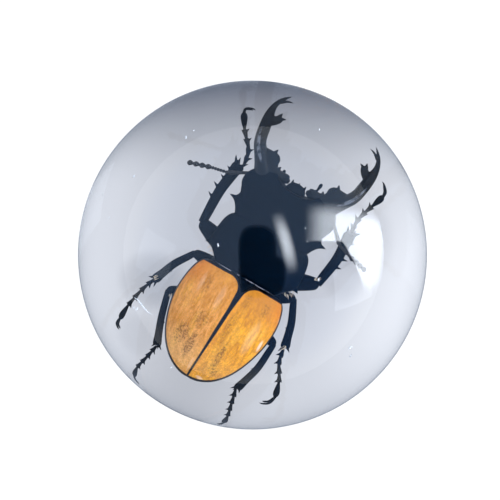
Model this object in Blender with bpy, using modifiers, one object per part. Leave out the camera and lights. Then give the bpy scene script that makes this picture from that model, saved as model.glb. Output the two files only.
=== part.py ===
"""A clear cast-resin dome, the block that a dried stag beetle is sealed in.

The real thing comes apart into one solid only: the resin was poured and cured round the specimen,
so the dome has no joint, lid or base plate. It is a cap of a ball on a flat, polished foot.

Frame: metres, +Z up, the origin at the middle of the foot, +Y towards the specimen's head.
"""

import math

import bpy

# Driving dimensions
BALL_RADIUS = 0.040  # the ball that the dome is a cap of
DOME_HEIGHT = 0.038  # from the foot to the crown
FOOT_ROUND = 0.0008  # radius of the polished edge round the foot

# Fineness of the faceted solid
TURN_STEPS = 80  # facets round the dome
CROWN_STEPS = 30  # facets from the crown down to the edge
EDGE_STEPS = 5  # facets round the polished edge
FOOT_RINGS = 3  # rings across the foot, from the edge to the middle
MERGE_DISTANCE = 0.00001

RESIN_COLOUR = (0.93, 0.95, 0.97, 1.0)
RESIN_IOR = 1.5
RESIN_ROUGHNESS = 0.02


def clear_scene():
    for thing in list(bpy.data.objects):
        bpy.data.objects.remove(thing)


def resin_material():
    material = bpy.data.materials.new("clear_resin")
    material.use_nodes = True
    shader = material.node_tree.nodes["Principled BSDF"]
    shader.inputs["Base Color"].default_value = RESIN_COLOUR
    shader.inputs["Roughness"].default_value = RESIN_ROUGHNESS
    shader.inputs["Metallic"].default_value = 0.0
    shader.inputs["IOR"].default_value = RESIN_IOR
    shader.inputs["Transmission Weight"].default_value = 1.0
    return material


def arc(centre, radius, start, end, steps):
    """Points (x, z) on an arc in the XZ plane, from one elevation in radians to the other."""
    x, z = centre
    turns = [start + (end - start) * i / steps for i in range(steps + 1)]
    return [(x + radius * math.cos(turn), z + radius * math.sin(turn)) for turn in turns]


def dome_profile():
    """Half the dome's outline, from the crown down the outside and in along the foot."""
    ball_centre = DOME_HEIGHT - BALL_RADIUS
    # The edge's arc touches the ball from inside and the foot's plane from above.
    edge_rise = FOOT_ROUND - ball_centre
    edge_reach = BALL_RADIUS - FOOT_ROUND
    meets_at = math.asin(edge_rise / edge_reach)
    edge_x = edge_reach * math.cos(meets_at)

    crown = arc((0.0, ball_centre), BALL_RADIUS, math.pi / 2, meets_at, CROWN_STEPS)
    crown[0] = (0.0, DOME_HEIGHT)
    edge = arc((edge_x, FOOT_ROUND), FOOT_ROUND, meets_at, -math.pi / 2, EDGE_STEPS)
    edge[-1] = (edge_x, 0.0)
    foot = [(edge_x * (1 - i / FOOT_RINGS), 0.0) for i in range(1, FOOT_RINGS + 1)]
    return crown + edge[1:] + foot


def turned_solid(name, profile, material):
    mesh = bpy.data.meshes.new(name)
    points = [(x, 0.0, z) for x, z in profile]
    edges = [(i, i + 1) for i in range(len(points) - 1)]
    mesh.from_pydata(points, edges, [])
    mesh.materials.append(material)
    solid = bpy.data.objects.new(name, mesh)

    turn = solid.modifiers.new("turn", "SCREW")
    turn.axis = "Z"
    turn.steps = TURN_STEPS
    turn.render_steps = TURN_STEPS
    turn.use_merge_vertices = True
    turn.merge_threshold = MERGE_DISTANCE
    turn.use_smooth_shade = True
    return solid


def main():
    clear_scene()
    parts = bpy.data.collections.new("insect_in_resin_dome")
    bpy.context.scene.collection.children.link(parts)
    parts.objects.link(turned_solid("resin_dome", dome_profile(), resin_material()))


main()
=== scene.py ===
"""A dried stag beetle in a clear resin dome, seen from straight above.

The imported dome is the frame. The beetle is sculpted piece by piece inside it. Its sizes are in
millimetres in a frame of its own: x to its right from its midline, y towards its jaws, z up from
the dome's foot.
"""

import math
import random

import bpy
from mathutils import Matrix, Vector


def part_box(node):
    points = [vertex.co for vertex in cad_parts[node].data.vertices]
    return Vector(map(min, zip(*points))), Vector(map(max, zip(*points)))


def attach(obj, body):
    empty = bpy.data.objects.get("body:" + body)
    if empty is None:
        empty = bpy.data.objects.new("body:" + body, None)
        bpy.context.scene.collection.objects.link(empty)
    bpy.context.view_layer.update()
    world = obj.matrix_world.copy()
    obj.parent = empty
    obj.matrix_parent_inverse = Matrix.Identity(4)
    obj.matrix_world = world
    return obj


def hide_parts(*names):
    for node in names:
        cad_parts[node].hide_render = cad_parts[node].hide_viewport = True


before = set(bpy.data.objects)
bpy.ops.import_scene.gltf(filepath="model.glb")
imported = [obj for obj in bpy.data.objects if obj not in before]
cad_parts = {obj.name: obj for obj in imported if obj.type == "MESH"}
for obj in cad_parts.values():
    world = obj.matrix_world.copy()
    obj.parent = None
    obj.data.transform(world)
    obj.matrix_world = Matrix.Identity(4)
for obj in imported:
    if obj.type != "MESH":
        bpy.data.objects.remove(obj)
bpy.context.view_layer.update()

MM = 0.001
DOME_LOW, DOME_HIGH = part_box("resin_dome")
DOME_HEIGHT = DOME_HIGH.z - DOME_LOW.z
BALL_RADIUS = 0.040  # the ball that the dome is a cap of
FOOT_RADIUS = (DOME_HIGH.x - DOME_LOW.x) / 2
FOOT_ROUND = 0.0008
THIN = 0.01  # half the width, in millimetres, of a point that a body closes to
MIDLINE = 0.9  # the beetle lies this far right of the dome's axis, in millimetres
SIDES = (-1, 1)
HANDS = ((-1, "left"), (1, "right"))


# ---------------------------------------------------------------- shader sums

class Sum:
    """A value in a material, which can be added, multiplied and compared like a number."""

    def __init__(self, finish, socket):
        self.finish = finish
        self.socket = socket

    def _with(self, operation, first, second):
        return self.finish.node("ShaderNodeMath", {"operation": operation}, {0: first, 1: second})

    def __add__(self, other):
        return self._with("ADD", self, other)

    def __radd__(self, other):
        return self._with("ADD", other, self)

    def __sub__(self, other):
        return self._with("SUBTRACT", self, other)

    def __rsub__(self, other):
        return self._with("SUBTRACT", other, self)

    def __mul__(self, other):
        return self._with("MULTIPLY", self, other)

    def __rmul__(self, other):
        return self._with("MULTIPLY", other, self)

    def __truediv__(self, other):
        return self._with("DIVIDE", self, other)

    def __pow__(self, other):
        return self._with("POWER", self, other)

    def __abs__(self):
        return self._with("ABSOLUTE", self, 0.0)

    def least(self, other):
        return self._with("MINIMUM", self, other)

    def most(self, other):
        return self._with("MAXIMUM", self, other)


class Nodes:
    """A node tree, with the few ways of adding to it that the finishes and the lights need."""

    def __init__(self, tree):
        self.tree = tree

    def node(self, kind, settings=None, sockets=None, out=0):
        made = self.tree.nodes.new(kind)
        for setting, value in (settings or {}).items():
            setattr(made, setting, value)
        for socket, value in (sockets or {}).items():
            if isinstance(value, Sum):
                self.tree.links.new(value.socket, made.inputs[socket])
            else:
                made.inputs[socket].default_value = value
        return Sum(self, made.outputs[out])

    def place(self, centre=(0, 0, 0), turn=0.0, stretch=(1, 1, 1)):
        """Object coordinates, in millimetres, from a centre and turned about Z."""
        raw = self.node("ShaderNodeTexCoord", {}, {}, "Object")
        moved = self.node("ShaderNodeVectorMath", {"operation": "SUBTRACT"}, {0: raw, 1: centre})
        scale = tuple(value / MM for value in stretch)
        sockets = {"Vector": moved, "Rotation": (0, 0, turn), "Scale": scale}
        return self.node("ShaderNodeMapping", {"vector_type": "POINT"}, sockets)

    def axes(self, vector):
        split = self.node("ShaderNodeSeparateXYZ", {}, {0: vector}).socket.node
        return [Sum(self, output) for output in split.outputs]

    def noise(self, vector, scale, detail=3.0, roughness=0.5, distortion=0.0):
        sockets = {"Vector": vector, "Scale": scale, "Detail": detail,
                   "Roughness": roughness, "Distortion": distortion}
        return self.node("ShaderNodeTexNoise", {"noise_dimensions": "3D"}, sockets, "Fac")

    def fade(self, value, start, end):
        """0 at start, 1 at end, smooth between; start may be the larger."""
        low, high, first, last = (start, end, 0.0, 1.0) if start < end else (end, start, 1.0, 0.0)
        sockets = {"Value": value, "From Min": low, "From Max": high, "To Min": first, "To Max": last}
        return self.node("ShaderNodeMapRange", {"interpolation_type": "SMOOTHSTEP"}, sockets, "Result")

    def smudge(self, x, y, right, forward, half_width, half_length):
        """1 in the middle of a soft patch, 0 outside it."""
        off_x = (x - right) / half_width
        off_y = (y - forward) / half_length
        return self.fade(off_x * off_x + off_y * off_y, 1.0, 0.1)

    def blend(self, amount, first, second):
        """The first colour where the amount is 0, the second where it is 1."""
        sockets = {"Factor": amount, 6: first, 7: second}
        return self.node("ShaderNodeMix", {"data_type": "RGBA"}, sockets, 2)


class Finish(Nodes):
    """A material on one Principled shader: plain values first, then what varies is fed in."""

    def __init__(self, name, **plain):
        self.material = bpy.data.materials.new(name)
        self.material.use_nodes = True
        super().__init__(self.material.node_tree)
        self.shader = self.tree.nodes["Principled BSDF"]
        for socket, value in plain.items():
            self.shader.inputs[socket.replace("_", " ")].default_value = value

    def feed(self, socket, value):
        self.tree.links.new(value.socket, self.shader.inputs[socket])

    def bump(self, height, depth, strength=1.0):
        normal = self.node("ShaderNodeBump", {},
                           {"Height": height, "Distance": depth * MM, "Strength": strength}, "Normal")
        self.feed("Normal", normal)


# ---------------------------------------------------------------- modelling

def deselect():
    if bpy.context.object and bpy.context.object.mode != "OBJECT":
        bpy.ops.object.mode_set(mode="OBJECT")
    bpy.ops.object.select_all(action="DESELECT")


def take(piece):
    deselect()
    piece.select_set(True)
    bpy.context.view_layer.objects.active = piece


def settle(piece):
    """Leaves the piece's object at the origin, unturned, with its place in its mesh."""
    take(piece)
    bpy.ops.object.transform_apply(location=True, rotation=True, scale=True)


def modify(piece, kind, **settings):
    take(piece)
    modifier = piece.modifiers.new(kind.lower(), kind)
    for setting, value in settings.items():
        setattr(modifier, setting, value)
    bpy.ops.object.modifier_apply(modifier=modifier.name)


def curve_value(part, before, start, end, after):
    """A number part of the way from start to end, on a smooth curve through all four."""
    bend = 2 * before - 5 * start + 4 * end - after
    twist = 3 * (start - end) + after - before
    return start + 0.5 * part * ((end - before) + part * (bend + part * twist))


def spline(points, steps):
    """Rows of numbers along a smooth curve through the given rows, steps to each stretch."""
    rows = []
    ends = [points[0]] + list(points) + [points[-1]]
    for four_points in zip(ends, ends[1:], ends[2:], ends[3:]):
        for i in range(steps):
            rows.append([curve_value(i / steps, *values) for values in zip(*four_points)])
    rows.append(list(points[-1]))
    return rows


def inside(x, y, z):
    """A place on the beetle, in millimetres from its midline, as a place in the dome."""
    return Vector(((x + MIDLINE) * MM, y * MM, z * MM))


def loft(name, stations, sides=20, steps=3, along=None):
    """A closed body through rings set along a path. A station is x, y, z, half width, half depth."""
    rows = spline(stations, steps)
    places = [inside(*row[:3]) for row in rows]
    deselect()
    bpy.ops.object.add(type="MESH", location=(0, 0, 0))
    piece = bpy.context.object
    piece.name = piece.data.name = name
    bpy.ops.object.mode_set(mode="EDIT")
    last = len(rows) - 1
    for i, row in enumerate(rows):
        if along:
            heading = Vector(along)
        else:
            heading = (places[min(i + 1, last)] - places[max(i - 1, 0)]).normalized()
        side = Vector((0, 0, 1)).cross(heading).normalized()
        turn = Matrix((side, heading.cross(side), heading)).transposed()
        across, deep = max(row[3], THIN) * MM, max(row[4], THIN) * MM
        bpy.ops.mesh.primitive_circle_add(
            vertices=sides, radius=across, location=places[i], rotation=turn.to_euler())
        bpy.ops.transform.resize(
            value=(1.0, deep / across, 1.0), orient_type="LOCAL", orient_matrix=turn,
            orient_matrix_type="LOCAL", center_override=places[i])
    bpy.ops.mesh.select_mode(type="EDGE")
    bpy.ops.mesh.select_all(action="SELECT")
    bpy.ops.mesh.bridge_edge_loops()
    bpy.ops.mesh.select_all(action="SELECT")
    bpy.ops.mesh.fill_holes(sides=0)
    bpy.ops.mesh.select_all(action="SELECT")
    bpy.ops.mesh.normals_make_consistent(inside=False)
    bpy.ops.object.mode_set(mode="OBJECT")
    return piece


def join(pieces, name):
    take(pieces[0])
    for piece in pieces[1:]:
        piece.select_set(True)
    if len(pieces) > 1:
        bpy.ops.object.join()
    joined = bpy.context.object
    joined.name = joined.data.name = name
    return joined


def fuse(pieces, name, voxel, rounds):
    """Melts overlapping shapes into one skin and softens where they meet."""
    body = join(pieces, name)
    modify(body, "REMESH", mode="VOXEL", voxel_size=voxel * MM)
    modify(body, "SMOOTH", factor=0.5, iterations=rounds)
    return body


def merge(pieces, name):
    """Cuts overlapping shapes into one skin with clean edges where they meet."""
    body = pieces[0]
    for piece in pieces[1:]:
        modify(body, "BOOLEAN", operation="UNION", object=piece, solver="EXACT")
        bpy.data.objects.remove(piece)
    body.name = body.data.name = name
    return body


def finish_piece(piece, finish):
    take(piece)
    bpy.ops.object.shade_smooth()
    piece.data.materials.clear()
    piece.data.materials.append(finish.material)
    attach(piece, "root")
    return piece


def set_along(master, name, start, end, thick):
    """A copy of a master shape, which points along +Y for 1 mm, laid from start to end."""
    first, last = inside(*start), inside(*end)
    heading = (last - first).normalized()
    side = heading.cross(Vector((0, 0, 1))).normalized()
    top = side.cross(heading)
    copy = master.copy()
    copy.data = master.data.copy()
    copy.name = copy.data.name = name
    bpy.context.scene.collection.objects.link(copy)
    turn = Matrix((side, heading, top)).transposed().to_4x4()
    scale = Matrix.Diagonal((thick, (last - first).length / MM, thick, 1.0))
    copy.matrix_world = Matrix.Translation(first) @ turn @ scale
    settle(copy)
    return copy


# ---------------------------------------------------------------- finishes

RESIN_IOR = 1.5
RESIN_WHITE = (0.97, 0.98, 1.0, 1)
RESIN_TINT = (0.72, 0.80, 0.90, 1)
RESIN_DENSITY = 1.5

SHELL_BLACK = (0.0, 0.0028, 0.0080, 1)
SHELL_BLUE = (0.0006, 0.0045, 0.0110, 1)
SHELL_LINE = (0.30, 0.29, 0.33, 1)
SHELL_PAINTED_HIGHLIGHT = (0.15, 0.16, 0.19, 1)

AMBER_LIGHT = {"left": (0.88, 0.37, 0.080, 1), "right": (1.0, 0.42, 0.004, 1)}
AMBER_STREAK = (0.62, 0.20, 0.004, 1)
AMBER_BAND = (1.0, 0.48, 0.045, 1)
AMBER_ROOT = (0.62, 0.215, 0.010, 1)
AMBER_SHOULDER = (0.80, 0.19, 0.006, 1)
AMBER_TAIL = (1.0, 0.52, 0.17, 1)
AMBER_HEM = (0.95, 0.36, 0.03, 1)
AMBER_GRAIN = (0.52, 0.18, 0.008, 1)
SMUDGE_BROWN = (0.20, 0.070, 0.006, 1)
GLINT_AND_SCUFF_PALE = (0.98, 0.70, 0.50, 1)
EDGE_BLACK = (0.004, 0.005, 0.009, 1)

ROOT_STRENGTH = {"left": 0.5, "right": 1.0}
TAIL_STRENGTH = {"left": 0.5, "right": 0.15}

# Smudges on each wing case: right of the midline, forward, half width, half length, and strength.
BROWN_SMUDGES = {
    "left": ((-4.9, -18.3, 1.5, 2.6, 0.85), (-2.7, -19.6, 1.0, 3.4, 1.0), (-3.2, -14.4, 1.7, 2.2, 0.5),
             (-5.3, -8.2, 1.1, 2.2, 0.45)),
    "right": ((3.1, -18.6, 0.7, 3.2, 0.9), (3.4, -21.6, 1.3, 1.6, 0.6), (1.9, -13.2, 0.9, 4.2, 0.4),
              (5.9, -7.4, 0.9, 1.8, 0.5), (2.4, -7.4, 0.9, 1.6, 0.35)),
}
# The pale patches are partly painted highlights and glints, partly pale scuffs.
PAINTED_GLINTS_AND_PALE_SCUFFS = {
    "left": ((-6.2, -8.4, 0.5, 2.4, 0.2), (-2.1, -9.4, 0.7, 3.0, 0.2), (-0.8, -22.8, 0.35, 1.8, 0.35)),
    "right": ((8.15, -13.2, 0.3, 1.4, 1.0), (8.75, -7.3, 0.2, 0.8, 0.9), (1.9, -24.3, 0.9, 0.4, 0.7),
              (6.2, -13.0, 1.0, 4.2, 0.2)),
}


def resin_finish():
    """Water-clear resin with a faint cool cast."""
    resin = Finish("clear_resin", Base_Color=RESIN_WHITE, Roughness=0.0, IOR=RESIN_IOR,
                   Transmission_Weight=1.0)
    sockets = {"Color": RESIN_TINT, "Density": RESIN_DENSITY}
    absorbed = resin.node("ShaderNodeVolumeAbsorption", {}, sockets, "Volume")
    output = resin.tree.nodes["Material Output"]
    resin.tree.links.new(absorbed.socket, output.inputs["Volume"])
    return resin


def shell_finish(name="black_shell", gloss=0.24, pits=0.004, grain=7.0, shine=0.05, hind_line=None,
                 crest=None):
    """Black shell: blue-black and polished, with fine pits and duller worn patches.

    The hind line is how far forward a thin pale line runs across the body, if there is one. The
    crest is the height above which a painted highlight is laid pale along a ridge."""
    shell = Finish(name, Roughness=gloss, Specular_IOR_Level=shine)
    here = shell.place()
    forward, up = shell.axes(here)[1:]
    cloud = shell.noise(here, 0.35, 4.0)
    fine = shell.noise(here, grain, 2.0)
    broken = shell.noise(here, 0.8, 3.0)
    tone = shell.blend(cloud, SHELL_BLACK, SHELL_BLUE)
    if hind_line:
        off_line = abs(forward - hind_line + 0.3 * (broken - 0.5))
        line = shell.fade(off_line, 0.10, 0.03) * shell.fade(broken, 0.40, 0.56)
        tone = shell.blend(line, tone, SHELL_LINE)
    # Painted highlight: the ridge above the crest height is lightened in the base colour, broken by noise.
    if crest:
        painted_highlight = shell.fade(up, crest, crest + 0.16) * shell.fade(broken, 0.30, 0.60)
        tone = shell.blend(painted_highlight, tone, SHELL_PAINTED_HIGHLIGHT)
    shell.feed("Base Color", tone)
    shell.feed("Roughness", gloss + 0.12 * shell.fade(cloud, 0.45, 0.75) + 0.05 * fine)
    if pits:
        shell.bump(shell.fade(fine, 0.35, 0.55), pits)
    return shell


def amber_tones(case, side, y, across, streaks, broad):
    """Amber that darkens at the root, reddens at the shoulder and pales at the tail."""
    amber = case.blend(case.fade(streaks, 0.34, 0.64), AMBER_STREAK, AMBER_LIGHT[side])
    amber = case.blend(case.fade(broad, 0.50, 0.68) * 0.5, amber, AMBER_BAND)
    amber = case.blend(case.fade(y, -13.0, -5.0) * ROOT_STRENGTH[side], amber, AMBER_ROOT)
    shoulder = case.fade(y, -11.5, -5.5) * case.fade(across, 5.2, 8.8)
    amber = case.blend(shoulder * 0.6, amber, AMBER_SHOULDER)
    amber = case.blend(case.fade(y, -15.5, -21.0) * TAIL_STRENGTH[side], amber, AMBER_TAIL)
    return case.blend(case.fade(across, 1.6, 0.6) * 0.35, amber, AMBER_HEM)


def smudged(case, side, amber, x, y, streaks, grain, fine):
    """The amber with its grain, its speckled brown smudges, and pale patches that are partly painted
    highlights and glints and partly pale scuffs.
    """
    speckle = case.fade(grain, 0.42, 0.60) * case.fade(fine, 0.34, 0.62)
    amber = case.blend(0.3 * case.fade(grain, 0.40, 0.62), amber, AMBER_GRAIN)
    brown = 0.10 * case.fade(streaks, 0.62, 0.40) + 0.16 * speckle
    for right, forward, wide, long, strength in BROWN_SMUDGES[side]:
        spot = case.smudge(x, y, right, forward, wide, long)
        brown = brown + strength * spot * (0.26 + 0.9 * speckle)
    amber = case.blend(brown.least(0.85), amber, SMUDGE_BROWN)
    # Pale patches: partly painted highlights and glints on the cases, partly pale scuffs.
    pale = 0.0
    for right, forward, wide, long, strength in PAINTED_GLINTS_AND_PALE_SCUFFS[side]:
        pale = strength * case.smudge(x, y, right, forward, wide, long) + pale
    return case.blend((pale * (0.45 + 0.6 * streaks)).least(0.8), amber, GLINT_AND_SCUFF_PALE)


def dark_edges(case, y, z, across, broad):
    """1 at the black base, seam and rim, with a round corner between the base and the seam."""
    seam = SEAM_HALF + 0.14 * case.fade(y, -21.0, -12.0) + 0.34 * case.fade(y, -11.5, -5.0)
    from_seam = across - seam
    from_base = (WING_BASE - 0.45) - y + 0.25 * (broad - 0.5)
    round_across = (CORNER - from_seam).most(0.0)
    round_back = (CORNER - from_base).most(0.0)
    corner = (round_across * round_across + round_back * round_back) ** 0.5
    dark_corner = case.fade(corner, CORNER - 0.07, CORNER + 0.07)
    dark_rim = case.fade(z, RIM_LEVEL + 0.95, RIM_LEVEL + 0.75)
    return dark_corner.most(dark_rim)


def wing_case_finish(side):
    """Amber wing case: streaks along it, brown smudges, painted highlights and pale scuffs, and a black
    base, seam and rim.
    """
    case = Finish("amber_wing_case_" + side, Roughness=0.35, Specular_IOR_Level=0.2)
    x, y, z = case.axes(case.place(centre=(MIDLINE * MM, 0, 0)))
    across = abs(x - seam_line(y))
    long_way = case.place(stretch=(1.0, 0.2, 1.0))
    streaks = case.noise(long_way, 1.7, 7.0, 0.72, 0.25)
    broad = case.noise(long_way, 0.6, 3.0, 0.6)
    grain = case.noise(case.place(), 2.4, 4.0, 0.75)
    fine = case.noise(case.place(stretch=(1.0, 0.5, 1.0)), 4.5, 2.0, 0.6)

    amber = amber_tones(case, side, y, across, streaks, broad)
    amber = smudged(case, side, amber, x, y, streaks, grain, fine)
    dark = dark_edges(case, y, z, across, broad)
    case.feed("Base Color", case.blend(dark, amber, EDGE_BLACK))
    case.feed("Roughness", 0.32 + 0.14 * grain - 0.05 * dark)
    case.bump(0.7 * streaks + 0.3 * grain, 0.05)
    return case


def hair_finish():
    hair = Finish("golden_hair", Roughness=0.75)
    tone = hair.noise(hair.place(), 3.0)
    hair.feed("Base Color", hair.blend(tone, (0.34, 0.24, 0.14, 1), (0.80, 0.70, 0.58, 1)))
    return hair


def speck_finish():
    """Trapped air and dust. The pale colour is the dust's own, and on the bubbles a painted glint."""
    speck = Finish("pale_speck", Roughness=0.25)
    tone = speck.noise(speck.place(), 6.0)
    speck.feed("Base Color", speck.blend(tone, (0.78, 0.82, 0.88, 1), (1.0, 1.0, 1.0, 1)))
    return speck


def feeler_finish():
    club = Finish("feeler_club", Roughness=0.6)
    tone = club.noise(club.place(), 5.0)
    club.feed("Base Color", club.blend(tone, (0.004, 0.004, 0.006, 1), (0.020, 0.017, 0.017, 1)))
    club.bump(tone, 0.02)
    return club


def eye_finish():
    """Dark eyes with a fine net of cells."""
    eye = Finish("beetle_eye", Roughness=0.3, Specular_IOR_Level=0.2)
    sockets = {"Vector": eye.place(), "Scale": 9.0}
    cells = eye.node("ShaderNodeTexVoronoi", {"feature": "F1"}, sockets, "Distance")
    eye.feed("Base Color", eye.blend(cells, (0.030, 0.018, 0.010, 1), (0.008, 0.006, 0.006, 1)))
    eye.bump(1 - cells, 0.02)
    return eye


# ---------------------------------------------------------------- the dome

def resin_dome():
    """A ball, cut off flat at the foot, with its edge polished round."""
    deselect()
    middle = Vector((0, 0, DOME_HEIGHT - BALL_RADIUS))
    bpy.ops.mesh.primitive_uv_sphere_add(segments=192, ring_count=128, radius=BALL_RADIUS, location=middle)
    dome = bpy.context.object
    dome.name = dome.data.name = "clear_resin_dome"
    settle(dome)
    bpy.ops.object.mode_set(mode="EDIT")
    bpy.ops.mesh.select_all(action="SELECT")
    bpy.ops.mesh.bisect(plane_co=(0, 0, 0), plane_no=(0, 0, 1), clear_inner=True, use_fill=True)
    bpy.ops.object.mode_set(mode="OBJECT")
    modify(dome, "BEVEL", width=FOOT_ROUND, segments=5, limit_method="ANGLE", angle_limit=math.radians(40))
    finish_piece(dome, resin_finish())
    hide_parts("resin_dome")
    return dome


# ---------------------------------------------------------------- the beetle's body

WING_BASE = -4.4
WING_TAIL = -24.7
RIM_LEVEL = 10.2
SEAM_HALF = 0.22
CORNER = 2.2  # how round the inner front corner of each amber patch is
CASE_WALL = 0.32
SHIELD_LEVEL = 11.3
SHIELD_CROWN = 2.35  # how far the shield's hind rim arches above its level
HEAD_LEVEL = 11.6
SCOOP_LEVEL = HEAD_LEVEL + 4

# Places along the wing cases, and the half width and crown height of the pair there.
WING_STATIONS = (
    (-4.30, 7.0, 2.9), (-4.75, 7.8, 3.4), (-5.8, 8.45, 3.8), (-7.5, 8.95, 4.2), (-9.5, 9.2, 4.45),
    (-11.8, 9.12, 4.5), (-14.2, 8.75, 4.4), (-16.5, 8.15, 4.15), (-18.6, 7.4, 3.75), (-20.4, 6.5, 3.25),
    (-21.9, 5.45, 2.65), (-23.1, 4.3, 2.0), (-24.0, 2.95, 1.3), (-24.5, 1.7, 0.7), (-24.68, 0.5, 0.25),
)

# Rings of bodies that lie level on the midline: forward, half width and half depth.
SHIELD_RINGS = (
    (5.9, 5.2, 2.0), (5.1, 6.6, 2.8), (4.4, 7.6, 3.3), (3.4, 8.15, 3.7), (2.0, 8.45, 4.0), (0.5, 8.6, 4.1),
    (-0.9, 8.6, 4.0), (-1.8, 8.2, 3.8), (-2.5, 7.45, 3.5), (-3.1, 6.8, 3.2), (-3.7, 6.35, 2.8),
    (-4.05, 5.9, 2.3), (-4.15, 5.2, 1.9),
)
HEAD_RINGS = (
    (3.2, 5.6, 2.1), (4.5, 7.0, 2.5), (5.6, 7.6, 2.65), (6.5, 8.25, 2.7), (7.2, 8.75, 2.65),
    (7.7, 8.4, 2.55), (8.4, 8.15, 2.45), (9.3, 8.5, 2.4), (10.2, 8.95, 2.35), (11.2, 9.05, 2.2),
    (12.1, 8.85, 2.1), (13.0, 8.35, 1.9), (13.7, 7.6, 1.6), (14.3, 6.6, 1.2), (14.6, 5.6, 0.6),
)
SCOOP_RINGS = ((12.7, 1.2, 0.5), (13.3, 3.0, 8.0), (14.6, 4.8, 8.0), (16.5, 5.6, 8.0))


def seam_line(y):
    """How far right of the midline the seam between the wing cases runs, at a place along them."""
    return 0.85 + 0.044 * y


def level_stations(level, rings):
    return [(0, forward, level, half_width, half_depth) for forward, half_width, half_depth in rings]


def mirrored(piece, name):
    """The same piece for the other side of the midline, with its own mesh."""
    other = piece.copy()
    other.data = piece.data.copy()
    other.name = other.data.name = name
    bpy.context.scene.collection.objects.link(other)
    middle = Matrix.Translation(inside(0, 0, 0))
    other.matrix_world = middle @ Matrix.Scale(-1, 4, (1, 0, 0)) @ middle.inverted()
    settle(other)
    bpy.ops.object.mode_set(mode="EDIT")
    bpy.ops.mesh.select_all(action="SELECT")
    bpy.ops.mesh.normals_make_consistent(inside=False)
    bpy.ops.object.mode_set(mode="OBJECT")
    return other


def wing_case(side, name):
    """One half of a lofted egg, cut at the seam and the rim, and hollowed to a shell.

    The tail is drawn out a little, and the left case is slightly fuller behind its middle."""
    stations = []
    for y, half_width, height in WING_STATIONS:
        seam = seam_line(y)
        tail = max(0.0, (-y - 17.0) / 7.7)
        swell = max(0.0, 1 - ((y + 16.5) / 7.5) ** 2) if side < 0 else 0.0
        across = half_width + 0.42 * swell - side * (seam + 0.1)
        stations.append((seam, y - 0.55 * tail, RIM_LEVEL, across, height))
    case = loft(name, stations, sides=64, steps=3, along=(0, 1, 0))
    start = inside(seam_line(WING_BASE), WING_BASE, 0)
    end = inside(seam_line(WING_TAIL), WING_TAIL, 0)
    outwards = Vector((0, 0, 1)).cross(start - end).normalized() * -side
    seam_gap = 0.03 * MM
    take(case)
    bpy.ops.object.mode_set(mode="EDIT")
    bpy.ops.mesh.select_all(action="SELECT")
    bpy.ops.mesh.bisect(plane_co=start + outwards * seam_gap, plane_no=outwards, clear_inner=True)
    bpy.ops.mesh.select_all(action="SELECT")
    bpy.ops.mesh.bisect(plane_co=(0, 0, RIM_LEVEL * MM), plane_no=(0, 0, 1), clear_inner=True)
    bpy.ops.object.mode_set(mode="OBJECT")
    modify(case, "SOLIDIFY", thickness=CASE_WALL * MM, offset=-1.0)
    modify(case, "BEVEL", width=0.09 * MM, segments=3, limit_method="ANGLE", angle_limit=math.radians(50))
    return case


def pronotum():
    """The broad polished shield behind the head, with a spine at each hind corner."""
    shield = loft("pronotum_block", level_stations(SHIELD_LEVEL, SHIELD_RINGS), sides=72, steps=4,
                  along=(0, 1, 0))
    spines = []
    for side in SIDES:
        stations = [(side * 7.4, -0.9, SHIELD_LEVEL, 0.8, 0.55), (side * 8.3, -1.4, SHIELD_LEVEL, 0.5, 0.4),
                    (side * 9.15, -1.9, SHIELD_LEVEL, THIN, THIN)]
        spines.append(loft("spine", stations, sides=16, steps=4))
    hind_rim = []
    for x in (-5.9, -5.0, -3.4, -1.7, 0, 1.7, 3.4, 5.0, 5.9):
        arch = SHIELD_CROWN * math.sqrt(1 - (x / 6.1) ** 2)
        hind_rim.append((x, -4.1 - 0.15 * math.cos(x / 3.0), SHIELD_LEVEL + arch, 0.16, 0.16))
    body = merge([shield, *spines, loft("rim", hind_rim, sides=10, steps=4)], "pronotum")
    modify(body, "SMOOTH", factor=0.5, iterations=2)
    return body


def head():
    """The broad head: side lobes, an eye-guard spine each side, a hollowed front edge."""
    block = loft("head_block", level_stations(HEAD_LEVEL, HEAD_RINGS), sides=64, steps=3, along=(0, 1, 0))
    scoop = loft("scoop", level_stations(SCOOP_LEVEL, SCOOP_RINGS), sides=40, steps=2, along=(0, 1, 0))
    modify(block, "BOOLEAN", operation="DIFFERENCE", object=scoop, solver="EXACT")
    bpy.data.objects.remove(scoop)
    spines = []
    for side in SIDES:
        stations = [(side * 7.7, 6.9, HEAD_LEVEL, 0.8, 0.6), (side * 8.6, 7.15, HEAD_LEVEL, 0.4, 0.35),
                    (side * 9.8, 7.2, HEAD_LEVEL, THIN, THIN)]
        spines.append(loft("spine", stations, sides=12))
    brows = []
    for side in SIDES:
        stations = [(side * 6.5, 7.4, HEAD_LEVEL + 1.2, 0.5, 0.4),
                    (side * 7.3, 9.3, HEAD_LEVEL + 0.9, 0.7, 0.5),
                    (side * 7.6, 11.2, HEAD_LEVEL + 0.75, 0.7, 0.5),
                    (side * 6.9, 12.9, HEAD_LEVEL + 0.7, 0.5, 0.4)]
        brows.append(loft("brow", stations, sides=14))
    return fuse([block, *spines, *brows], "head", 0.1, 14)


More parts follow.
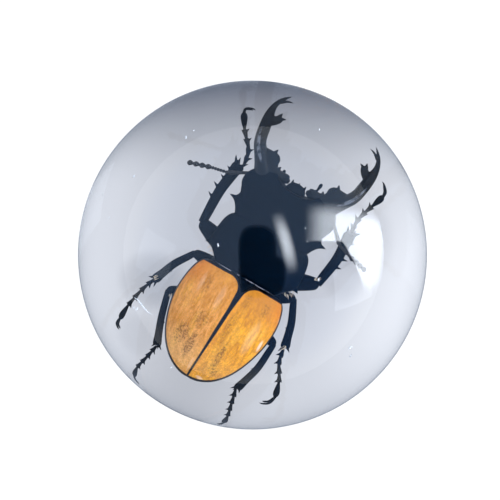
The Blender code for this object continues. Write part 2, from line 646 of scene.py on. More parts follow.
# The parts that melt into the right jaw. A station is x, y, z, half width, half depth.
JAW_PARTS = {
    "blade": dict(sides=20, stations=(
        (6.0, 12.4, 11.4, 1.7, 1.3), (6.9, 13.9, 11.6, 1.5, 1.4), (7.8, 15.2, 11.8, 1.3, 1.35),
        (8.7, 16.5, 11.9, 1.22, 1.25), (9.5, 17.6, 12.0, 1.15, 1.2), (10.1, 19.0, 12.0, 1.1, 1.15),
        (10.6, 21.2, 12.0, 1.12, 1.05), (11.15, 23.8, 11.9, 1.0, 1.0), (11.5, 25.8, 11.9, 0.74, 0.86),
        (11.55, 27.5, 12.0, 0.6, 0.76), (11.3, 29.4, 12.15, 0.52, 0.6), (10.8, 31.0, 12.3, 0.38, 0.42),
        (10.1, 32.6, 12.4, THIN, THIN))),
    "ridge": dict(sides=12, stations=(
        (7.1, 14.3, 12.7, 0.3, 0.34), (8.2, 15.5, 12.95, 0.36, 0.42), (9.3, 16.8, 13.05, 0.38, 0.44),
        (10.3, 18.5, 13.05, 0.36, 0.42), (11.0, 20.5, 12.95, 0.32, 0.38), (11.45, 22.6, 12.8, 0.3, 0.34),
        (11.7, 25.0, 12.55, 0.26, 0.3), (11.75, 27.5, 12.45, 0.2, 0.25), (11.3, 29.8, 12.45, 0.1, 0.1))),
    "low_tip": dict(sides=12, stations=(
        (11.1, 28.6, 12.0, 0.5, 0.5), (10.4, 29.5, 11.9, 0.46, 0.45), (9.6, 29.9, 11.8, 0.3, 0.3),
        (8.7, 30.0, 11.7, THIN, THIN))),
    "fork_stem": dict(sides=14, stations=(
        (10.8, 22.9, 11.9, 1.35, 0.8), (9.9, 23.5, 11.9, 1.15, 0.65), (9.2, 24.1, 11.9, 0.9, 0.5),
        (8.7, 24.5, 11.9, 0.5, 0.35))),
    "fork_front": dict(sides=12, stations=(
        (9.5, 24.4, 11.9, 0.55, 0.4), (9.4, 25.2, 11.95, 0.38, 0.3), (9.3, 26.1, 12.0, THIN, THIN))),
    "fork_back": dict(sides=12, stations=(
        (9.3, 24.2, 11.9, 0.6, 0.4), (8.7, 24.6, 11.9, 0.42, 0.3), (7.9, 24.95, 11.9, THIN, THIN))),
    "plate": dict(sides=24, along=(-1, 0.06, 0), stations=(
        (8.6, 16.6, 11.9, 1.2, 0.95), (7.3, 16.5, 11.9, 1.3, 0.7), (6.3, 16.5, 11.9, 1.3, 0.5),
        (5.6, 16.45, 11.9, 1.2, 0.38), (5.15, 16.3, 11.9, 0.95, 0.28), (4.9, 16.2, 11.9, 0.6, 0.2))),
    "plate_corner": dict(sides=12, stations=(
        (6.6, 17.2, 11.9, 0.55, 0.35), (6.4, 17.9, 11.9, 0.32, 0.24), (6.2, 18.6, 11.9, THIN, THIN))),
    "base": dict(sides=24, stations=(
        (7.8, 14.4, 11.5, 1.6, 1.35), (6.0, 14.5, 11.4, 1.35, 1.2), (4.4, 14.3, 11.3, 1.0, 1.0),
        (3.2, 14.2, 11.2, 0.95, 0.85), (2.3, 14.1, 11.1, 0.75, 0.6), (1.7, 14.0, 11.0, 0.35, 0.3))),
    "plate_point": dict(sides=12, stations=(
        (5.4, 16.0, 11.9, 0.5, 0.3), (5.05, 15.75, 11.9, 0.28, 0.2), (4.65, 15.5, 11.9, THIN, THIN))),
    "knob": dict(sides=20, stations=(
        (3.6, 14.3, 11.5, 0.3, 0.3), (3.2, 14.5, 11.6, 0.6, 0.5), (2.7, 14.7, 11.6, 0.58, 0.5),
        (2.2, 14.85, 11.6, 0.35, 0.35), (2.0, 14.9, 11.6, 0.1, 0.1))),
    "nub": dict(sides=12, stations=(
        (4.6, 14.6, 11.6, 0.5, 0.45), (4.4, 15.4, 11.7, 0.3, 0.3), (4.2, 15.85, 11.7, 0.06, 0.06))),
}


def mandible():
    """The right jaw: a curved blade with a plate tooth, a forked tooth and a forked tip."""
    return fuse([loft(name, **part) for name, part in JAW_PARTS.items()], "right_mandible", 0.075, 4)


def labrum():
    """The small toothed lip between the jaws."""
    stations = [(0, 12.2, 11.3, 1.9, 0.8), (0, 13.2, 11.2, 1.85, 0.65), (0, 13.9, 11.1, 1.6, 0.5),
                (0, 14.4, 11.0, 1.1, 0.3), (0, 14.6, 11.0, 0.5, 0.1)]
    lip = loft("lip", stations, sides=32, along=(0, 1, 0))
    teeth = []
    for x in (-1.15, 0.0, 1.15):
        stations = [(x, 13.7, 11.1, 0.3, 0.28), (x * 1.05, 14.5, 11.1, 0.2, 0.18),
                    (x * 1.1, 15.0, 11.1, THIN, THIN)]
        teeth.append(loft("tooth", stations, sides=10))
    return fuse([lip, *teeth], "labrum", 0.07, 3)


def palp(side, name):
    """A short jointed feeler beside the mouth."""
    reach = 0.3 if side > 0 else -0.9
    stations = [(side * 2.2, 11.8, 9.6, 0.2, 0.2), (side * 2.7, 13.2 + reach, 9.6, 0.32, 0.3),
                (side * 2.9, 13.5 + reach, 9.7, 0.2, 0.2), (side * 3.1, 14.6 + reach, 9.9, 0.34, 0.3),
                (side * 3.2, 14.9 + reach, 9.9, 0.2, 0.2), (side * 3.35, 16.0 + reach, 10.1, 0.32, 0.28),
                (side * 3.4, 16.4 + reach, 10.1, 0.1, 0.1)]
    return loft(name, stations, sides=14, steps=4)


def scutellum():
    """The little black shield between the roots of the wing cases."""
    x, top = seam_line(WING_BASE), RIM_LEVEL + 3.35
    stations = [(x, -3.9, top - 0.9, 1.7, 0.6), (x, -4.6, top, 1.4, 0.6), (x, -5.3, top + 0.28, 0.95, 0.56),
                (x, -5.9, top + 0.5, 0.5, 0.45), (x, -6.4, top + 0.62, 0.2, 0.3),
                (x, -6.6, top + 0.65, 0.08, 0.1)]
    return loft("scutellum", stations, sides=32, along=(0, 1, 0))


BELLY_X = -0.1
BELLY_EDGES = (-8.6, -11.8, -15.0, -18.0, -20.8, -24.2)
BELLY_SWELL = ((0.0, 0.955), (0.12, 0.985), (0.55, 1.0), (0.92, 1.0))  # part of a plate, its fullness


def abdomen():
    """The belly under the wing cases: five plates, each lapping the next."""
    stations = []
    for front, back in zip(BELLY_EDGES, BELLY_EDGES[1:]):
        for part, swell in BELLY_SWELL:
            y = front + (back - front) * part
            sag = 0.2 * (y + 22.9) / 14.0 if y < -10 else 0.2
            wide = 8.3 * math.sqrt(max(0.02, 1 - ((y + 10.5) / 14.2) ** 2)) * swell
            deep = 3.6 * swell * math.sqrt(max(0.03, 1 - ((y + 9.5) / 15.4) ** 2))
            stations.append((BELLY_X, y, RIM_LEVEL - 0.35 - sag, wide, deep))
    stations.append((BELLY_X, -24.3, RIM_LEVEL - 0.4, 0.6, 0.3))
    return loft("abdomen", stations, sides=48, steps=2, along=(0, 1, 0))


def thorax():
    """The chest under the shield and the roots of the wing cases, with the six leg sockets."""
    stations = [(0, 3.6, 9.6, 3.2, 1.8), (0, 2.0, 9.3, 4.8, 2.8), (0, 0, 9.0, 5.4, 3.3),
                (0, -2.0, 9.0, 5.8, 3.5), (0, -4.4, 9.2, 6.9, 3.8), (0, -7.0, 9.3, 8.0, 4.2),
                (0, -9.2, 9.4, 8.1, 4.2), (0, -10.2, 9.5, 7.4, 3.6)]
    trunk = loft("trunk", stations, sides=48, along=(0, 1, 0))
    sockets = []
    for side in SIDES:
        for y in (0.4, -4.6, -9.0):
            stations = [(side * 0.9, y, 6.3, 0.7, 0.7), (side * 2.6, y + 0.1, 6.2, 1.15, 1.0),
                        (side * 4.2, y + 0.2, 6.8, 1.0, 0.9), (side * 5.3, y + 0.3, 7.3, 0.5, 0.5)]
            sockets.append(loft("socket", stations, sides=20))
    return fuse([trunk, *sockets], "thorax", 0.14, 4)


def eye(side, name):
    """A small eye, low on the side of the head."""
    stations = [(side * 6.9, 9.9, 10.9, 0.1, 0.1), (side * 7.0, 9.8, 10.9, 0.7, 0.7),
                (side * 7.5, 9.3, 10.9, 1.0, 0.95), (side * 7.95, 8.85, 10.9, 0.75, 0.7),
                (side * 8.2, 8.6, 10.9, 0.1, 0.1)]
    return loft(name, stations, sides=28, steps=4)


# ---------------------------------------------------------------- legs and feelers

# Shapes that repeat on the legs, feelers and hairs: sides, then rings of how far along a shape that
# is 1 mm long, half width, half depth, and how far the ring lies to the right.
PATTERNS = {
    "spine": (10, ((0, 0.5, 0.5, 0), (0.35, 0.36, 0.36, 0), (0.7, 0.18, 0.18, 0.04),
                   (1, THIN, THIN, 0.12))),
    "bead": (14, ((-0.05, 0.16, 0.16, 0), (0.2, 0.36, 0.36, 0), (0.6, 0.54, 0.5, 0), (0.9, 0.38, 0.38, 0),
                  (1.05, 0.14, 0.14, 0))),
    "toe": (14, ((-0.08, 0.2, 0.2, 0), (0.08, 0.25, 0.25, 0), (0.5, 0.34, 0.32, 0), (0.88, 0.48, 0.42, 0),
                 (0.98, 0.42, 0.38, 0), (1.05, 0.2, 0.2, 0))),
    "last_toe": (14, ((-0.03, 0.2, 0.2, 0), (0.1, 0.26, 0.25, 0), (0.4, 0.46, 0.4, 0), (0.7, 0.58, 0.5, 0),
                      (0.9, 0.5, 0.44, 0), (1.02, 0.26, 0.24, 0))),
    "hair": (6, ((0, 0.5, 0.5, 0), (0.5, 0.4, 0.4, 0.03), (1, THIN, THIN, 0.12))),
}


def patterns():
    """The shapes that are copied on to every leg, feeler and tuft. Each points along +Y."""
    shapes = {}
    for name, (sides, rings) in PATTERNS.items():
        stations = [(right - MIDLINE, forward, 0, wide, deep) for forward, wide, deep, right in rings]
        shapes[name] = loft(name + "_pattern", stations, sides=sides, along=(0, 1, 0))
    return shapes


def between(start, end, part):
    return tuple(a + (b - a) * part for a, b in zip(start, end))


def beyond(point, direction, reach):
    return tuple(p + d * reach for p, d in zip(point, direction))


def way(start, end):
    return tuple((Vector(end) - Vector(start)).normalized())


def sideways(direction):
    """Level and square to a direction, on its right."""
    return Vector(direction).cross(Vector((0, 0, 1))).normalized()


def femur(name, leg):
    """The thigh: widest a third along, pinched at the hip, with a rounded knee."""
    hip, knee, thick = leg["hip"], leg["knee"], leg["thick"]
    middle = between(hip, knee, 0.45)
    middle = (middle[0], middle[1], middle[2] + 0.35)
    end = beyond(knee, way(middle, knee), 0.3)
    return loft(name, [
        (*hip, 0.8 * thick, 0.6 * thick),
        (*between(hip, middle, 0.45), 1.3 * thick, 0.95 * thick),
        (*middle, 1.4 * thick, 1.0 * thick),
        (*between(middle, knee, 0.6), 1.15 * thick, 0.85 * thick),
        (*between(middle, knee, 0.95), 0.85 * thick, 0.7 * thick),
        (*end, 0.3 * thick, 0.25 * thick)], sides=24, steps=4)


SPURS = ((1.35, 1.5), (-1.15, 1.3), (0.5, 1.5))  # round the ankle: how far outwards, and how long


def tibia(name, leg, shapes):
    """The shin: thin at the knee and flared at the ankle, with thorns on its outer edge."""
    knee, ankle, thick = leg["knee"], leg["ankle"], leg["thick"]
    middle = tuple(place + bow for place, bow in zip(between(knee, ankle, 0.5), leg["bow"]))
    shin = loft(name + "_shin", [
        (*knee, 0.62 * thick, 0.5 * thick),
        (*between(knee, middle, 0.3), 0.72 * thick, 0.52 * thick),
        (*middle, 0.8 * thick, 0.55 * thick),
        (*between(middle, ankle, 0.6), 0.86 * thick, 0.6 * thick),
        (*between(middle, ankle, 0.93), 0.98 * thick, 0.66 * thick),
        (*ankle, 0.62 * thick, 0.5 * thick)], sides=22, steps=4)
    along = way(knee, ankle)
    out = sideways(along) * leg["side"]
    spikes = []
    for part, length in leg["thorns"]:
        root = between(knee, middle, part * 2) if part < 0.5 else between(middle, ankle, part * 2 - 1)
        tip = beyond(beyond(root, out, 0.75 * thick + length), along, length * 0.7)
        spikes.append(set_along(shapes["spine"], name + "_thorn", root, tip, 0.75 * thick))
    root = between(middle, ankle, 0.86)
    for outwards, length in SPURS:
        tip = beyond(beyond(root, out, outwards * thick), along, length * thick + 0.3)
        spikes.append(set_along(shapes["spine"], name + "_spur", root, tip, 0.9 * thick))
    return fuse([shin, *spikes], name, 0.07, 2)


TOES = (0.0, 0.14, 0.30, 0.45, 0.62, 1.0)  # where each toe of a foot starts and the last one ends


def tarsus(name, leg, shapes):
    """The foot: four short flared toes, barbed inwards, and a long one with two hooked claws."""
    size = leg["toe"]
    curve = spline(leg["foot"], 12)
    spots = [tuple(curve[round(part * (len(curve) - 1))]) for part in TOES]
    short_toes = list(zip(spots[:4], spots[1:5]))
    toes = [set_along(shapes["toe"], name + "_toe", start, end, size) for start, end in short_toes]
    toes.append(set_along(shapes["last_toe"], name + "_last_toe", spots[4], spots[5], size))
    for start, end in short_toes:
        along = way(start, end)
        across = sideways(along)
        inwards = across if across.x * leg["side"] < 0 else -across
        root = between(start, end, 0.7)
        for reach in (0.85, -0.55):
            tip = beyond(beyond(root, inwards, reach * size), along, 0.6 * size)
            toes.append(set_along(shapes["spine"], name + "_barb", root, tip, 0.62 * size))
    foot_end = spots[-1]
    claws = []
    for bend, tip in leg["claws"]:
        middle = between(bend, tip, 0.5)
        curl = beyond(middle, way(foot_end, middle), 0.2 * (Vector(tip) - Vector(bend)).length)
        stations = [(*foot_end, 0.26 * size, 0.26 * size), (*bend, 0.24 * size, 0.24 * size),
                    (*curl, 0.19 * size, 0.18 * size), (*tip, THIN, THIN)]
        claws.append(loft(name + "_claw", stations, sides=10, steps=5))
    return fuse([*toes, *claws], name, 0.05, 1)


FORE_THORNS = ((0.36, 1.0), (0.52, 1.05), (0.68, 0.8), (0.84, 0.8))  # part of the shin, and length

# Each leg: which side, hip, knee and ankle, how the shin bows, how thick the leg is, its thorns, the
# foot's path, the bend and tip of each claw, and the size of a toe.
LEGS = {
    "left_fore": dict(
        side=-1, hip=(-4.2, -1.6, 7.6), knee=(-11.0, 0.5, 9.3), ankle=(-10.5, 12.2, 8.2),
        bow=(-0.4, 0.2, 0.3), thick=1.15, thorns=FORE_THORNS, toe=1.1,
        foot=((-9.8, 12.6, 7.8), (-10.2, 14.9, 7.2), (-12.0, 17.0, 6.7), (-13.6, 18.9, 6.4),
              (-14.7, 20.9, 6.2)),
        claws=(((-14.9, 21.9, 6.1), (-13.1, 22.3, 5.8)), ((-14.8, 21.6, 5.7), (-13.4, 21.9, 5.3)))),
    "right_fore": dict(
        side=1, hip=(4.2, -1.6, 7.6), knee=(11.1, 1.2, 9.2), ankle=(11.7, 11.4, 8.0),
        bow=(0.5, 0.2, 0.3), thick=1.15, thorns=FORE_THORNS, toe=1.1,
        foot=((11.7, 11.7, 7.8), (11.6, 14.0, 7.0), (12.3, 16.4, 6.6), (13.2, 18.6, 6.4),
              (13.9, 20.4, 6.2)),
        claws=(((14.0, 21.6, 6.1), (12.5, 22.9, 5.9)), ((13.7, 21.3, 5.7), (12.8, 22.4, 5.3)))),
    "left_middle": dict(
        side=-1, hip=(-4.4, -4.6, 7.2), knee=(-9.45, -4.55, 9.0), ankle=(-13.1, -11.8, 6.6),
        bow=(-0.3, 0.3, 0.3), thick=0.85, thorns=((0.6, 0.3),), toe=0.98,
        foot=((-13.2, -11.9, 6.4), (-14.1, -14.2, 5.9), (-14.8, -16.9, 5.6), (-15.3, -19.2, 5.4),
              (-15.5, -21.3, 5.2)),
        claws=(((-15.8, -22.6, 5.2), (-14.7, -23.3, 4.9)), ((-15.4, -22.3, 4.9), (-14.5, -22.8, 4.5)))),
    "right_middle": dict(
        side=1, hip=(4.4, -4.6, 7.2), knee=(8.8, -2.9, 9.0), ankle=(11.6, -10.8, 6.6),
        bow=(0.3, 0.2, 0.3), thick=0.85, thorns=((0.6, 0.3),), toe=1.02,
        foot=((11.5, -11.1, 6.4), (11.9, -13.3, 5.8), (13.3, -15.5, 5.5), (14.3, -17.5, 5.3),
              (14.9, -19.4, 5.2)),
        claws=(((14.8, -21.1, 5.2), (13.0, -21.8, 4.9)), ((14.4, -20.7, 4.9), (13.2, -21.1, 4.5)))),
    "left_hind": dict(
        side=-1, hip=(-4.2, -9.6, 6.8), knee=(-10.3, -12.3, 8.4), ankle=(-7.4, -21.7, 6.0),
        bow=(-0.2, 0.0, 0.3), thick=0.82, thorns=((0.55, 0.3),), toe=0.98,
        foot=((-7.4, -21.9, 5.8), (-7.9, -24.3, 5.4), (-8.6, -27.0, 5.1), (-9.2, -29.8, 4.9),
              (-9.2, -32.2, 4.8)),
        claws=(((-8.9, -33.6, 4.7), (-7.6, -34.5, 4.4)), ((-8.6, -33.2, 4.4), (-7.6, -33.8, 4.0)))),
    "right_hind": dict(
        side=1, hip=(4.2, -9.6, 6.8), knee=(9.8, -11.3, 8.4), ankle=(8.3, -21.4, 6.0),
        bow=(0.5, 0.0, 0.3), thick=0.82, thorns=((0.55, 0.3),), toe=1.02,
        foot=((8.2, -21.6, 5.8), (8.9, -24.2, 5.3), (9.7, -26.9, 5.0), (10.4, -29.5, 4.9),
              (10.8, -31.8, 4.8)),
        claws=(((10.9, -33.2, 4.7), (10.6, -34.5, 4.4)), ((10.5, -32.8, 4.4), (10.1, -33.9, 4.0)))),
}


def legs(shell, shapes):
    """Six legs, each a thigh, a shin and a foot."""
    for name, leg in LEGS.items():
        finish_piece(femur(name + "_femur", leg), shell)
        finish_piece(tibia(name + "_tibia", leg, shapes), shell)
        finish_piece(tarsus(name + "_tarsus", leg, shapes), shell)


# Each feeler: which side, its name, and the places of its elbow, the start of its club and its tip.
FEELERS = (
    (-1, "left_antenna", (-11.7, 10.2, 10.6), (-14.6, 9.6, 10.3), (-18.9, 8.4, 10.0)),
    (1, "right_antenna", (11.2, 9.0, 10.6), (13.8, 8.2, 10.3), (17.7, 7.5, 10.0)),
)


def feeler(side, name, elbow, club, tip, shapes):
    """An elbowed feeler: a long first joint, six small beads, and a club of four wide ones."""
    root = (side * 7.9, 12.3, 10.8)
    stations = [(*root, 0.28, 0.26), (*between(root, elbow, 0.5), 0.32, 0.3),
                (*between(root, elbow, 0.92), 0.42, 0.38), (*elbow, 0.26, 0.26)]
    scape = loft(name + "_scape", stations, sides=12)
    beads = []
    for start, end, count, thick in ((elbow, club, 6, 0.62), (club, tip, 4, 0.95)):
        spots = [between(start, end, i / count) for i in range(count + 1)]
        beads += [set_along(shapes["bead"], name + "_bead", a, b, thick) for a, b in zip(spots, spots[1:])]
    return fuse([scape, *beads], name, 0.05, 1)


# ---------------------------------------------------------------- hairs and trapped things

# Pale hairs at leg joints: which leg, where they grow from, and which way they point.
JOINT_HAIRS = (
    ("left_middle", (-13.0, -11.4, 7.3), (-0.6, -0.8, 0.5)),
    ("left_hind", (-9.5, -12.7, 8.7), (0.3, -0.9, 0.4)),
    ("right_middle", (11.5, -10.8, 7.2), (-0.1, -0.9, 0.5)),
    ("right_fore", (10.6, 1.9, 9.9), (0.5, 0.8, 0.3)),
)

# Places of the specks of trapped air and dust: right of the midline, forward, up, and half length.
SPECKS = (
    (-22.8, 12.9, 14.0, 0.42), (-28.1, 1.7, 14.0, 0.40), (-34.0, -4.6, 13.0, 0.32),
    (-28.8, -7.7, 14.0, 0.34), (-1.8, 27.2, 14.0, 0.30), (-3.6, -26.2, 14.0, 0.32),
    (23.7, -5.9, 14.0, 0.48), (24.9, -7.3, 14.0, 0.38), (4.9, 8.9, 17.0, 0.14), (6.4, 7.0, 17.0, 0.14),
    (-7.0, -1.5, 15.4, 0.30), (11.0, 2.0, 10.2, 0.28), (-23.2, 15.4, 18.0, 0.30),
    (-14.2, -19.0, 12.0, 0.40), (-14.9, -19.2, 12.1, 0.30),
)
# Stations of the fibre that is trapped beside the wing cases.
FIBRE = (
    (-15.6, -17.4, 12.0, 0.04, 0.04), (-14.8, -17.4, 12.1, 0.10, 0.10), (-13.9, -17.7, 12.1, 0.13, 0.13),
    (-12.4, -18.2, 12.0, 0.11, 0.11), (-10.9, -18.2, 11.9, THIN, THIN),
)


def tuft(name, root, heading, spread, count, length, shapes):
    """Fine pale hairs that fan out from a patch of shell."""
    chance = random.Random(name)
    hairs = []
    for _ in range(count):
        start = tuple(middle + reach * chance.uniform(-1, 1) for middle, reach in zip(root, spread))
        lean = Vector(heading) + Vector([chance.uniform(-0.35, 0.35) for _ in range(3)])
        end = beyond(start, tuple(lean.normalized()), length * chance.uniform(0.6, 1.1))
        hairs.append(set_along(shapes["hair"], name, start, end, 0.11))
    return join(hairs, name)


def specks():
    """Trapped bubbles and dust, each a small lopsided bead."""
    chance = random.Random("specks")
    beads = []
    for x, y, z, half in SPECKS:
        lean = chance.uniform(-0.5, 0.5) * half
        stations = [(x - lean, y - half, z, THIN, THIN),
                    (x - lean * 0.6, y - half * 0.5, z, half * 0.42, half * 0.4),
                    (x, y, z, half * 0.5, half * 0.45),
                    (x + lean, y + half * 0.6, z, half * 0.32, half * 0.3),
                    (x + lean, y + half, z, THIN, THIN)]
        beads.append(loft("bead", stations, sides=12, along=(0, 1, 0)))
    return join(beads, "trapped_specks")


# ---------------------------------------------------------------- the whole beetle

def body(shell):
    """Head, shield, belly, mouth parts and jaws."""
    polished = shell_finish("polished_shell", gloss=0.3, pits=0, shine=0.01)
    # The jaws carry a painted highlight along their ridges, above the crest height.
    jaw_shell = shell_finish("jaw_shell", gloss=0.15, pits=0.003, shine=0.32, crest=13.2)
    worn = shell_finish("pitted_shell", gloss=0.18, pits=0.012, grain=5.0)
    shield_shell = shell_finish("shield_shell", gloss=0.3, pits=0, shine=0.01, hind_line=-4.22)
    finish_piece(pronotum(), shield_shell)
    finish_piece(head(), polished)
    finish_piece(thorax(), worn)
    finish_piece(abdomen(), worn)
    finish_piece(scutellum(), shell)
    finish_piece(labrum(), shell)
    right_jaw = mandible()
    finish_piece(mirrored(right_jaw, "left_mandible"), jaw_shell)
    finish_piece(right_jaw, jaw_shell)


def hairs(shapes):
    """Pale fringes at the shield's hind corners and tufts at the leg joints."""
    hair = hair_finish()
    for side, hand in HANDS:
        fringe = tuft(hand + "_pronotum_hair", (side * 7.2, -2.3, 11.2), (side * 0.6, -0.8, 0.1),
                      (1.1, 0.7, 0.4), 26, 0.9, shapes)
        finish_piece(fringe, hair)
    for leg, root, heading in JOINT_HAIRS:
        fringe = tuft(leg + "_joint_hair", root, heading, (0.35, 0.35, 0.2), 14, 0.75, shapes)
        finish_piece(fringe, hair)


def beetle():
    shell = shell_finish()
    body(shell)
    eyes = eye_finish()
    for side, hand in HANDS:
        finish_piece(wing_case(side, hand + "_wing_case"), wing_case_finish(hand))
        finish_piece(palp(side, hand + "_palp"), shell)
        finish_piece(eye(side, hand + "_eye"), eyes)
    shapes = patterns()
    legs(shell, shapes)
    club = feeler_finish()
    for feeler_places in FEELERS:
        finish_piece(feeler(*feeler_places, shapes), club)
    hairs(shapes)
    for shape in shapes.values():
        bpy.data.objects.remove(shape)


def trapped_things():
    pale = speck_finish()
    finish_piece(loft("stray_fibre", FIBRE, sides=8, steps=6), pale)
    finish_piece(specks(), pale)


# ---------------------------------------------------------------- studio

CAMERA_HEIGHT = 0.3189
CAMERA_TURN = math.radians(30)
CENTRING = (-0.005, 0.010)  # how far the dome sits right of and below the middle of the frame
VIEW_RIGHT = Vector((math.cos(CAMERA_TURN), math.sin(CAMERA_TURN), 0))
VIEW_UP = Vector((-math.sin(CAMERA_TURN), math.cos(CAMERA_TURN), 0))

SOFT_WHITE = (0.86, 0.92, 1.0)
HORIZON = (0.78, 0.83, 0.90, 1)
CLEAR_SKY = (0.53, 0.66, 0.84, 1)
SHEEN_SKY = (0.50, 0.72, 1.12, 1)  # what the dome's polish mirrors from overhead
SHEEN_NEAR = (0.16, 0.32, 0.70, 1)  # and from overhead on the maker's side
SKY_STRENGTH = 1.08
SHADE_BLACK = (0.004, 0.004, 0.005, 1)

TABLE_SIZE = 4.0
TABLE_WHITE = (0.98, 0.98, 0.98, 1)
TABLE_EDGE = (0.62, 0.66, 0.72, 1)
TABLE_MIRRORED = (0.20, 0.24, 0.31, 1)
MAT_PAINTED_SHADE = (0.0, 0.008, 0.045, 1)
MAT_PAINTED_LIGHT = (0.955, 0.975, 1.03, 1)
# Depths under the dome's foot, so that nothing is in the same place.
MAT_DEPTH = 0.0002
TABLE_DEPTH = 0.0004
MIRRORED_TABLE_DEPTH = 0.0008

# Soft shadows under the dome, in millimetres: right, up, half width, half length, and strength.
MAT_SHADOWS = (
    (-16.0, -4.0, 6.5, 5.5, 0.24), (-19.0, -13.0, 4.5, 4.5, 0.10), (14.5, -2.5, 4.5, 6.0, 0.16),
    (17.5, 2.5, 6.5, 7.5, 0.12),
)


def from_view(right, up, height):
    """A place given by how far right and up it is as the camera sees it, and its height."""
    return VIEW_RIGHT * right + VIEW_UP * up + Vector((0, 0, height))


def camera():
    """A long lens straight above the dome."""
    data = bpy.data.cameras.new("camera")
    data.lens = 100.0
    data.sensor_width = 36.0
    data.shift_x, data.shift_y = CENTRING
    data.clip_start, data.clip_end = 0.01, 10.0
    made = bpy.data.objects.new("camera", data)
    made.location = (0, 0, CAMERA_HEIGHT)
    made.rotation_euler = (0, 0, CAMERA_TURN)
    bpy.context.scene.collection.objects.link(made)
    bpy.context.scene.camera = made


def softbox(name, place, size, lean, glow, edge, notch=None, through=True, matt_only=False):
    """A light that faces the dome from a place right, up and high, faded over its edges.

    Its length runs up the view, leaning to the right by an angle; glow is its brightness. A notch
    is a corner kept dark: how far across and along it reaches, and its slope. A light that isn't
    let through shows in the dome's polish only; a matt-only one lights dull surfaces only."""
    width, length = size
    data = bpy.data.lights.new(name, "AREA")
    data.shape = "RECTANGLE"
    data.size, data.size_y = width, length
    data.energy = math.pi * width * length
    data.color = SOFT_WHITE
    data.use_nodes = True
    tree = Nodes(data.node_tree)
    emission = data.node_tree.nodes["Emission"]
    u, v = tree.axes(tree.node("ShaderNodeNewGeometry", {}, {}, "Parametric"))[:2]
    across = tree.fade(0.5 - abs(u - 0.5), 0.0, edge)
    along = tree.fade(0.5 - abs(v - 0.5), 0.0, edge)
    strength = across * along * glow
    if notch:
        notch_across, notch_along, slope = notch
        inner = tree.fade(u + v * slope, notch_across + 0.02, notch_across - 0.02)
        strength = strength * (1 - inner * tree.fade(v - u * 0.3, notch_along + 0.02, notch_along - 0.02))
    if matt_only:
        strength = strength * tree.node("ShaderNodeLightPath", {}, {}, "Diffuse Depth").least(1.0)
    data.node_tree.links.new(strength.socket, emission.inputs["Strength"])

    lamp = bpy.data.objects.new(name, data)
    lamp.location = from_view(*place)
    out = lamp.location.normalized()
    side = VIEW_UP.cross(out).normalized()
    facing = Matrix((side, out.cross(side), out)).transposed()
    lamp.rotation_euler = (facing @ Matrix.Rotation(-math.radians(lean), 3, "Z")).to_euler()
    lamp.visible_camera = False
    lamp.visible_transmission = through
    bpy.context.scene.collection.objects.link(lamp)


def dark_shade(name, place, half_width, half_length):
    """A black card with soft round edges above the camera, like the camera and the maker behind it."""
    centre = from_view(*place)
    deselect()
    bpy.ops.mesh.primitive_plane_add(size=2.0, location=centre, rotation=(0, 0, CAMERA_TURN))
    card = bpy.context.object
    card.name = name
    card.scale = (half_width, half_length, 1)
    settle(card)
    black = Finish(name, Base_Color=SHADE_BLACK, Roughness=0.9, Specular_IOR_Level=0.0)
    x, y = black.axes(black.place(centre=tuple(centre), turn=-CAMERA_TURN))[:2]
    across, along = x / (half_width / MM), y / (half_length / MM)
    out = abs(across) ** 3.0 + abs(along) ** 3.0
    black.feed("Alpha", black.fade(out, 1.0, 0.45))
    card.data.materials.append(black.material)
    card.visible_transmission = card.visible_shadow = False


def sky():
    """A pale horizon and a cooler sky, which is bluest where the dome's polish mirrors it."""
    world = bpy.data.worlds.new("studio")
    world.use_nodes = True
    tree = Nodes(world.node_tree)
    background = world.node_tree.nodes["Background"]
    x, y, z = tree.axes(tree.node("ShaderNodeTexCoord", {}, {}, "Generated"))
    near = VIEW_RIGHT * 0.3 - VIEW_UP
    sheen = tree.blend(tree.fade(x * near.x + y * near.y, 0.05, 0.45), SHEEN_SKY, SHEEN_NEAR)
    in_polish = tree.node("ShaderNodeLightPath", {}, {}, "Is Reflection Ray")
    overhead = tree.blend(in_polish, CLEAR_SKY, sheen)
    colour = tree.blend(tree.fade(z, 0.05, 0.40), HORIZON, overhead)
    world.node_tree.links.new(colour.socket, background.inputs["Color"])
    background.inputs["Strength"].default_value = SKY_STRENGTH
    bpy.context.scene.world = world


def lights_and_shades():
    softbox("strip_softbox", (0.186, 0.07, 0.5), (0.10, 0.40), lean=-14, glow=15.0, edge=0.45,
            through=False)
    softbox("right_softbox", (0.48, 0.06, 0.24), (0.68, 0.42), lean=15, glow=12.5, edge=0.27,
            notch=(0.80, 0.36, 0.8), through=False)
    softbox("right_fill", (0.50, 0.063, 0.25), (0.70, 0.44), lean=15, glow=8.0, edge=0.27, matt_only=True)
    softbox("low_right_sheet", (0.48, -0.14, 0.20), (0.26, 0.22), lean=-25, glow=1.6, edge=0.03)
    softbox("left_sheet", (-0.50, 0.00, 0.26), (0.26, 0.22), lean=20, glow=0.8, edge=0.06)
    softbox("overhead_fill", (0.0, -0.05, 0.90), (2.0, 2.0), lean=0, glow=2.4, edge=0.35, matt_only=True)
    dark_shade("camera_shade", (0.0185, 0.013, 0.360), 0.078, 0.111)
    dark_shade("maker_shade", (0.040, -0.085, 0.364), 0.100, 0.097)


def glowing_finish(name, base, **plain):
    """Dull paper that gives its own even light, so that no shadow falls on it."""
    return Finish(name, Base_Color=(base, base, base, 1), Roughness=0.9, Specular_IOR_Level=0.0,
                  Emission_Strength=1.0, **plain)


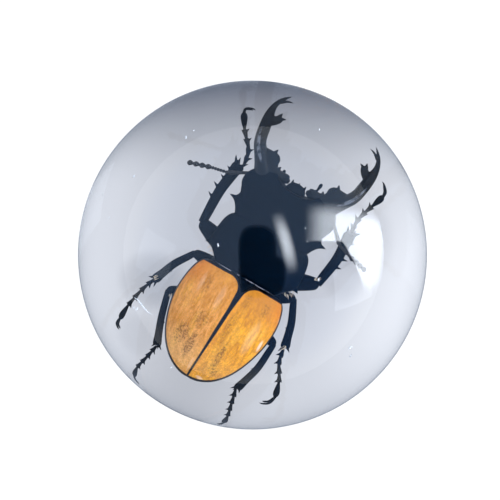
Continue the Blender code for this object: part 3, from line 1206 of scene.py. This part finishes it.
def table_plane(name, depth, finish):
    bpy.ops.mesh.primitive_plane_add(size=TABLE_SIZE, location=(0, 0, -depth))
    plane = bpy.context.object
    plane.name = name
    plane.data.materials.append(finish.material)
    return plane


def white_table():
    """White paper near the dome, dimmer far off."""
    paper = glowing_finish("white_table", 0.05)
    x, y = paper.axes(paper.place(turn=-CAMERA_TURN))[:2]
    near = paper.fade(abs(x).most(abs(y)), 700.0, 70.0)
    paper.feed("Emission Color", paper.blend(near, TABLE_EDGE, TABLE_WHITE))
    table = table_plane("white_table", TABLE_DEPTH, paper)
    table.visible_glossy = False
    return table


def mirrored_table():
    """A dimmer table that shows in reflections only, which draws the dome's outline on the white."""
    dim = glowing_finish("table_in_reflections", 0.0, Emission_Color=TABLE_MIRRORED)
    return table_plane("table_in_reflections", MIRRORED_TABLE_DEPTH, dim)


def painted_light_mat():
    """Painted light and shade under the dome: a glowing disc, grey in the middle, paler at the sides,
    dark towards the top and the rim, with painted soft shadows.
    """
    bpy.ops.mesh.primitive_circle_add(vertices=128, radius=FOOT_RADIUS, fill_type="NGON",
                                      location=(0, 0, -MAT_DEPTH))
    mat = bpy.context.object
    mat.name = "painted_light_mat"
    grey = glowing_finish("painted_light_paper", 0.01)
    x, y = grey.axes(grey.place(turn=-CAMERA_TURN))[:2]
    out = (x * x + y * y) ** 0.5
    # Painted light and shade: these tones stand for the room's light seen through the resin, not the
    # paper's colour.
    tone = 0.585 + 0.26 * grey.fade(abs(x), 8.0, 30.0) + 0.20 * grey.fade(x - y, 6.0, 34.0)
    tone = tone * (1 - 0.90 * grey.fade(y, 11.0, 35.5)) * (1 - 0.1 * grey.fade(y, -12.0, -34.0))
    tone = tone * (1 - 0.92 * grey.fade(out, 33.2, 34.8))
    for right, up, wide, long, strength in MAT_SHADOWS:
        tone = tone * (1 - strength * grey.smudge(x, y, right, up, wide, long))
    grey.feed("Emission Color", grey.blend(tone, MAT_PAINTED_SHADE, MAT_PAINTED_LIGHT))
    mat.data.materials.append(grey.material)
    return mat


def studio():
    bpy.context.scene.view_settings.view_transform = "Standard"
    sky()
    lights_and_shades()
    deselect()
    table = white_table()
    shadow_side = mirrored_table()
    mat = painted_light_mat()


camera()
studio()
resin_dome()
beetle()
trapped_things()
